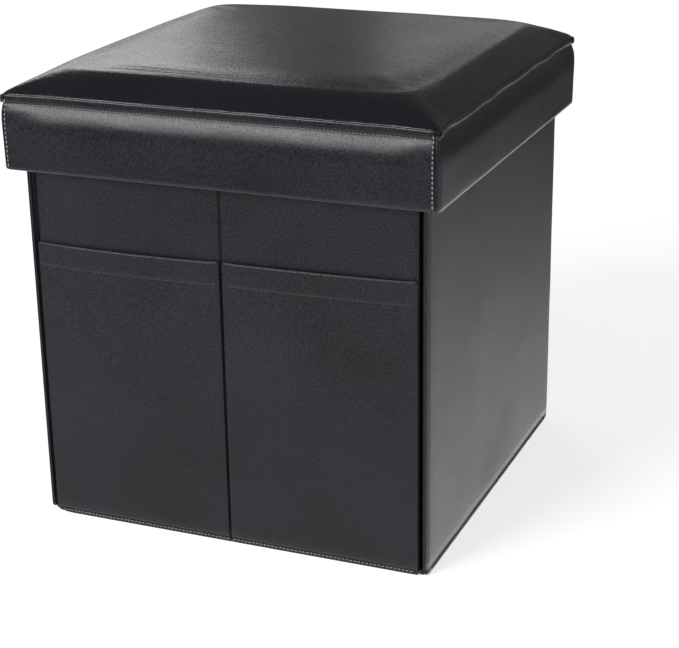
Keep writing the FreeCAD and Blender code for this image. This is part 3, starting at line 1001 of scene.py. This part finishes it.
# ---- corner seams of the bands: a column of bead-like stitches down each corner --------------------------
def corner_stitches(name, sx, sy):
    V, m, T, pts, nrm, ends, place = fv
    base = len(pts) - 1
    # a line 1.9 mm to the front side of the seam, on the front band's own surface
    i = int(np.argmin(np.abs(ends[len(ends) // 2:] - 1.9))) + len(ends) // 2
    ks = [k for k in range(m - 4) if 2.5 < T[k] < BAND_H - 2.5]
    path = np.array([V[i * m + k] for k in ks])
    v, f = capsule_row(path, np.tile((nrm[i][0], nrm[i][1], 0), (len(ks), 1)), 2.6, 3.8, 0.5, sink=0.2, lift=0.3)
    v2 = np.array(v)
    v2, f = mirrored(v2, f, sx, sy)
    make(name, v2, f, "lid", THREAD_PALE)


def corner_gathers(name, sx, sy):
    """The cover's corner is drawn together at the seam: a few small tight folds."""
    c = LH - R_C
    sv, sf = [], []
    for k, (deg, top, ln, rad) in enumerate(((-58, 0.6, 5.4, 0.85), (-36, 0.2, 7.2, 1.0), (-12, 0.5, 6.0, 0.9), (12, 0.9, 4.6, 0.75), (-80, 1.4, 3.6, 0.6))):
        t = math.radians(deg)
        n = np.array((math.cos(t), math.sin(t), 0.0))
        rr = R_C - 0.85
        a = np.array((c + n[0] * rr, -c + n[1] * rr, SEAM_Z - top))
        path = np.linspace(a, a + (0, 0, -ln), 7) + n * (0.5 * np.sin(np.linspace(0, math.pi, 7)))[:, None]
        v, f = capsule_row(path, np.tile(n, (7, 1)), ln * 0.98, ln * 2, rad, seg=10)
        sf += [tuple(i + len(sv) for i in g) for g in f]
        sv += list(v)
    v, f = mirrored(np.array(sv), sf, sx, sy)
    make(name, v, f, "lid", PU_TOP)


for _n, _sx, _sy in (("front_right", 1, 1), ("front_left", -1, 1), ("back_right", 1, -1), ("back_left", -1, -1)):
    corner_gathers("corner_gathers_" + _n, _sx, _sy)
corner_stitches("corner_stitches_front_right", 1, 1)
corner_stitches("corner_stitches_front_left", -1, 1)
corner_stitches("corner_stitches_back_right", 1, -1)
corner_stitches("corner_stitches_back_left", -1, -1)


# ---- cushion -----------------------------------------------------------------------------------------------
HC = LH - 1.9                   # half size of the top panel, out to its seam
RC2 = 5.0
CROWN = TOP_Z - SEAM_Z


def inward(a, b):
    """How far inside the sewn edge, with the lines of equal distance rounded at the corners."""
    a, b = np.maximum(a, 1e-3), np.maximum(b, 1e-3)
    return (a**-1.9 + b**-1.9) ** (-1 / 1.9)


def crown(a, b):
    """Height over the seam at distances a and b from the nearest two edges: a soft border that
    slopes up to a shoulder, then a slightly domed top."""
    e = inward(a, b)
    border = (CROWN - 2.2) * (1 - np.clip(1 - e / 28.0, 0, 1) ** 1.36)
    dome = 2.2 * (1 - np.clip(1 - (e - 20) / 150.0, 0, 1) ** 2.0)
    return border + dome * smooth01((e - 18) / 20.0)


def cushion_top():
    ticks = np.r_[0, 0.8, 1.8, 3.0, 4.6, 6.6, np.arange(9.0, 46, 2.6)]
    inner = np.linspace(ticks[-1] + 3.4, HC, int((HC - ticks[-1]) / 3.5))
    half = np.r_[ticks, inner]
    g = np.unique(np.round(np.r_[-HC + half, HC - half], 5))
    n = len(g)
    X, Y = np.meshgrid(g, g, indexing="ij")
    a, b = HC - np.abs(X), HC - np.abs(Y)
    # round the panel's corners
    cx, cy = np.clip(X, -HC + RC2, HC - RC2), np.clip(Y, -HC + RC2, HC - RC2)
    dx, dy = (X - cx) / RC2, (Y - cy) / RC2
    L = np.hypot(dx, dy)
    mx = np.maximum(np.abs(dx), np.abs(dy))
    s = np.where(L > 1e-9, mx / np.maximum(L, 1e-9), 1)
    X, Y = np.where(L > 0, cx + dx * s * RC2, X), np.where(L > 0, cy + dy * s * RC2, Y)
    # the sewn edge runs a little inward between the corners
    fade_x, fade_y = np.clip(1 - a / 45.0, 0, 1) ** 1.3, np.clip(1 - b / 45.0, 0, 1) ** 1.3
    X, Y = (X - np.sign(X) * drawn_in(b) * fade_x, Y - np.sign(Y) * drawn_in(a) * fade_y)
    Z = SEAM_Z - 0.9 + crown(a, b) + 0.9 * smooth01(np.minimum(a, b) / 1.2)
    V = np.c_[X.ravel(), Y.ravel(), Z.ravel()]
    F = [(i * n + j, (i + 1) * n + j, (i + 1) * n + j + 1, i * n + j + 1) for i in range(n - 1) for j in range(n - 1)]
    return V, F, n, np.minimum(a, b).ravel(), a.ravel(), b.ravel()


def simulate(V, F, n, edge):
    """Inflates the stuffed pad a little under its cover by cloth simulation, with the sewn edge held."""
    bottom = V.copy()
    bottom[:, 2] = SEAM_Z - 24.0
    N = len(V)
    border = [i * n for i in range(n)] + [(n - 1) * n + j for j in range(1, n)] + [i * n + n - 1 for i in range(n - 2, -1, -1)] + [j for j in range(n - 2, 0, -1)]
    faces = list(F) + [tuple(N + i for i in reversed(f)) for f in F]
    for p, q in zip(border, border[1:] + border[:1]):
        faces.append((q, p, N + p, N + q))
    me = bpy.data.meshes.new("pad_sim")
    me.from_pydata((np.vstack([V, bottom]) * MM).tolist(), [], faces)
    me.update()
    ob = bpy.data.objects.new("pad_sim", me)
    scene.collection.objects.link(ob)
    vg = ob.vertex_groups.new(name="held")
    held = [i for i in range(N) if edge[i] < 0.9] + list(range(N, 2 * N))
    vg.add(held, 1.0, "REPLACE")
    mod = ob.modifiers.new("cloth", "CLOTH")
    st = mod.settings
    st.quality = 6
    st.mass = 0.3
    st.air_damping = 2.0
    st.tension_stiffness = st.compression_stiffness = 40
    st.shear_stiffness = 20
    st.bending_stiffness = 2.5
    st.tension_damping = st.compression_damping = 20
    st.vertex_group_mass = "held"
    st.use_pressure = True
    st.uniform_pressure_force = 4.0
    st.shrink_min = 0.0
    st.effector_weights.gravity = 0
    mod.collision_settings.use_collision = False
    mod.point_cache.frame_start, mod.point_cache.frame_end = 1, 18
    for fr in range(1, 19):
        scene.frame_set(fr)
    dg = bpy.context.evaluated_depsgraph_get()
    ev = ob.evaluated_get(dg)
    co = np.array([v.co for v in ev.data.vertices]) / MM
    bpy.data.objects.remove(ob)
    bpy.data.meshes.remove(me)
    scene.frame_set(1)
    return co[:N]


def cushion():
    V, F, n, edge, a, b = cushion_top()
    move = np.zeros_like(V)
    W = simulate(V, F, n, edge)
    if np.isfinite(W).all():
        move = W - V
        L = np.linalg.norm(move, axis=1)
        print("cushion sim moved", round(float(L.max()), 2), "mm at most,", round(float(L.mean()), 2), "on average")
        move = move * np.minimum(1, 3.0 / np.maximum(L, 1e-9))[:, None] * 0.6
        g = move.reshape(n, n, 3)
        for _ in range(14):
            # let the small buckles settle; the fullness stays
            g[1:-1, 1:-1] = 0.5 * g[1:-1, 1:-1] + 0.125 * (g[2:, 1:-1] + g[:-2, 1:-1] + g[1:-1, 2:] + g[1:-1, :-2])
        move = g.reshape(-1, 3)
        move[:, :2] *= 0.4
    P = V + move
    e = inward(a, b)
    # the leather is a little slack over the foam: slow waves, and gathers running off the sewn edge
    P[:, 2] += fbm(V, 80.0, 7.7, 2) * 0.35 * smooth01(e / 24)
    across = np.where(a < b, V[:, 1], V[:, 0])
    q = np.c_[across / 15.0, np.where(a < b, np.sign(V[:, 0]) * 40, np.sign(V[:, 1]) * 90), e / 40.0]
    g = np.array([noise.noise(Vector(v)) for v in q])
    P[:, 2] += 0.13 * g * smooth01(e / 2.5) * np.exp(-((e - 4) / 8.0) ** 2)
    # puckers fanning out from each corner
    for sx in (-1, 1):
        for sy in (-1, 1):
            dx, dy = HC - sx * V[:, 0], HC - sy * V[:, 1]
            r = np.hypot(dx, dy)
            phi = np.arctan2(dy, dx)
            P[:, 2] += 0.28 * np.cos(phi * 11.0 + sx + 2 * sy) * np.exp(-((r - 6) / 4.5) ** 2) * smooth01(np.minimum(dx, dy) / 2.0)
    # keep it under the crown of the frame's box
    top = TOP_Z + 2.0
    P[:, 2] = np.where(P[:, 2] > top - 1, top - 1 + np.tanh(P[:, 2] - top + 1), P[:, 2])
    held = edge < 0.9
    P[held] = V[held]
    PV, PF = shell_of(P, F, 1.15)
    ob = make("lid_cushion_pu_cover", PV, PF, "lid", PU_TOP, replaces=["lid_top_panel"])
    # the foam under it
    fo = PV[len(P):].copy()
    fo[:, :2] *= (LH - 6.5) / (LH - 1.9)
    fo[:, 2] -= 0.4
    low = fo.copy()
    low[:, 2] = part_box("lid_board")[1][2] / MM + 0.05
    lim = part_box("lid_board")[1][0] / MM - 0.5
    low[:, :2] = np.clip(low[:, :2], -lim, lim)
    N = len(P)
    border = [i * n for i in range(n)] + [(n - 1) * n + j for j in range(1, n)] + [i * n + n - 1 for i in range(n - 2, -1, -1)] + [j for j in range(n - 2, 0, -1)]
    faces = list(F) + [tuple(N + i for i in reversed(f)) for f in F]
    for p, q in zip(border, border[1:] + border[:1]):
        faces.append((q, p, N + p, N + q))
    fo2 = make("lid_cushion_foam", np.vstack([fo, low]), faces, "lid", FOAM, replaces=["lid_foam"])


cushion()

# ---- CAD parts that are kept as they are, with their real materials ------------------------------------------
KEPT = {"board": BOARD, "lining": LINING, "hinge_cloth": CLOTH, "webbing": WEB, "pu_cover": PU_BODY, "foam": FOAM}
slot_of = {s["node"]: s["material_slot"] for s in frame["record"]["subparts"]}
for node, ob in frame["nodes"].items():
    if ob.hide_render:
        continue
    mat = KEPT[slot_of[node]]
    ob.data.materials.clear()
    ob.data.materials.append(mat)

# =============================================================================================
# stage, light and camera
# =============================================================================================
def floor():
    n = 24
    xs = np.linspace(-9000, 9000, n)
    V = [(x, y, -0.05) for x in xs for y in xs]
    F = [(i * n + j, (i + 1) * n + j, (i + 1) * n + j + 1, i * n + j + 1) for i in range(n - 1) for j in range(n - 1)]
    me = bpy.data.meshes.new("studio_floor")
    me.from_pydata((np.array(V) * MM).tolist(), [], F)
    m, nt, bsdf = new_material("studio_floor")
    v = coords(nt)
    nt.links.new(ramp(nt, noise_tex(nt, v, 3.0), [(0.3, (0.86, 0.86, 0.86)), (0.7, (0.89, 0.89, 0.89))]), bsdf.inputs["Base Color"])
    bsdf.inputs["Roughness"].default_value = 0.9
    bsdf.inputs["Specular IOR Level"].default_value = 0.2
    bsdf.inputs["Emission Color"].default_value = (1, 1, 1, 1)
    bsdf.inputs["Emission Strength"].default_value = 0.72
    me.materials.append(m)
    ob = bpy.data.objects.new("studio_floor", me)
    scene.collection.objects.link(ob)
    ob.visible_glossy = False


floor()


def area(name, loc, target, size, power, colour=(1, 1, 1), size_y=None):
    L = bpy.data.lights.new(name, "AREA")
    L.energy = power
    L.color = colour
    L.shape = "RECTANGLE"
    L.size = size
    L.size_y = size_y or size
    ob = bpy.data.objects.new(name, L)
    ob.location = loc
    ob.rotation_mode = "QUATERNION"
    ob.rotation_quaternion = (Vector(target) - Vector(loc)).to_track_quat("-Z", "Y")
    scene.collection.objects.link(ob)
    return ob


# two panes of a window low behind the left, the upper one brighter, and a fainter one behind the right,
# all three for the top to reflect; a softbox front left for the padded shoulders; a weak fill from the right
def at(az, el, dist):
    """A place seen from the lid at an azimuth left of straight back, and an elevation."""
    a, e = math.radians(az), math.radians(el)
    return (-math.sin(a) * math.cos(e) * dist, math.cos(a) * math.cos(e) * dist, 0.39 + math.sin(e) * dist)


area("window_low", at(38.5, 9.0, 3.3), (0, 0, 0.39), 1.15, 2.7, (0.97, 0.985, 1.0), 0.75)
area("window_high", at(38.5, 22.5, 3.3), (0, 0, 0.39), 1.15, 6.4, (0.97, 0.985, 1.0), 0.62)
area("window_right", at(13.0, 13.0, 3.3), (0, 0, 0.39), 0.75, 1.0, (0.97, 0.985, 1.0), 0.8)
area("softbox_front_left", (-1.30, -2.55, 1.75), (0, 0, 0.3), 1.6, 60.0, (1, 1, 1), 1.5)
area("fill_right", (3.0, -0.4, 1.2), (0, 0, 0.1), 1.8, 8.0, (1.0, 0.99, 0.97))

world = bpy.data.worlds.new("studio")
scene.world = world
world.use_nodes = True
nt = world.node_tree
nt.nodes.clear()
out = nt.nodes.new("ShaderNodeOutputWorld")
bg = nt.nodes.new("ShaderNodeBackground")
tc = nt.nodes.new("ShaderNodeTexCoord")
sep = nt.nodes.new("ShaderNodeSeparateXYZ")
nt.links.new(tc.outputs["Generated"], sep.inputs[0])
cr = nt.nodes.new("ShaderNodeValToRGB")
stops = [(0.0, 2.15), (0.24, 2.15), (0.30, 1.50), (0.342, 0.36), (0.38, 0.05), (0.50, 0.105), (0.57, 0.185), (0.66, 0.15), (0.78, 0.14), (1.0, 0.14)]
while len(cr.color_ramp.elements) < len(stops):
    cr.color_ramp.elements.new(0.5)
for e, (p, c) in zip(cr.color_ramp.elements, stops):
    e.position = p
    e.color = (c, c, c * 1.02, 1)
half = math_node(nt, "MULTIPLY", sep.outputs["Z"], 0.5)
nt.links.new(math_node(nt, "ADD", half, 0.5), cr.inputs["Fac"])
nt.links.new(cr.outputs["Color"], bg.inputs["Color"])
# the pale ground is brighter behind and to the right of the ottoman than in front of it
behind = math_node(nt, "ADD", sep.outputs["Y"], math_node(nt, "MULTIPLY", sep.outputs["X"], 0.35))
low = maprange(nt, behind, 0.42, 1.0, -0.6, 0.35)
upper = maprange(nt, sep.outputs["Z"], 0.0, 1.0, -0.1, 0.1)
nt.links.new(math_node(nt, "ADD", math_node(nt, "MULTIPLY", low, math_node(nt, "SUBTRACT", 1.0, upper)), upper), bg.inputs["Strength"])
nt.links.new(bg.outputs[0], out.inputs[0])

scene.view_settings.view_transform = "Standard"
scene.view_settings.look = "None"

# camera: at the viewing angle of the reference, slightly from the right and above
AZ, EL, ROLL = 22.517, 20.428, -0.85
CAM = (0.5945, -1.36495, 0.6886)
F_PX, W_PX = 1766.0, 679.0
cam = bpy.data.cameras.new("camera")
cam.sensor_fit = "HORIZONTAL"
cam.sensor_width = 36.0
cam.lens = F_PX * 36.0 / W_PX
cam.dof.use_dof = False
cam.clip_start, cam.clip_end = 0.05, 60
co = bpy.data.objects.new("camera", cam)
scene.collection.objects.link(co)
a, e, r = (math.radians(v) for v in (AZ, EL, ROLL))
back = Vector((math.sin(a) * math.cos(e), -math.cos(a) * math.cos(e), math.sin(e)))
right = Vector((0, 0, 1)).cross(back).normalized()
up = back.cross(right)
r2 = math.cos(r) * right + math.sin(r) * up
u2 = -math.sin(r) * right + math.cos(r) * up
co.matrix_world = Matrix(((r2.x, u2.x, back.x, CAM[0]), (r2.y, u2.y, back.y, CAM[1]), (r2.z, u2.z, back.z, CAM[2]), (0, 0, 0, 1)))
scene.camera = co
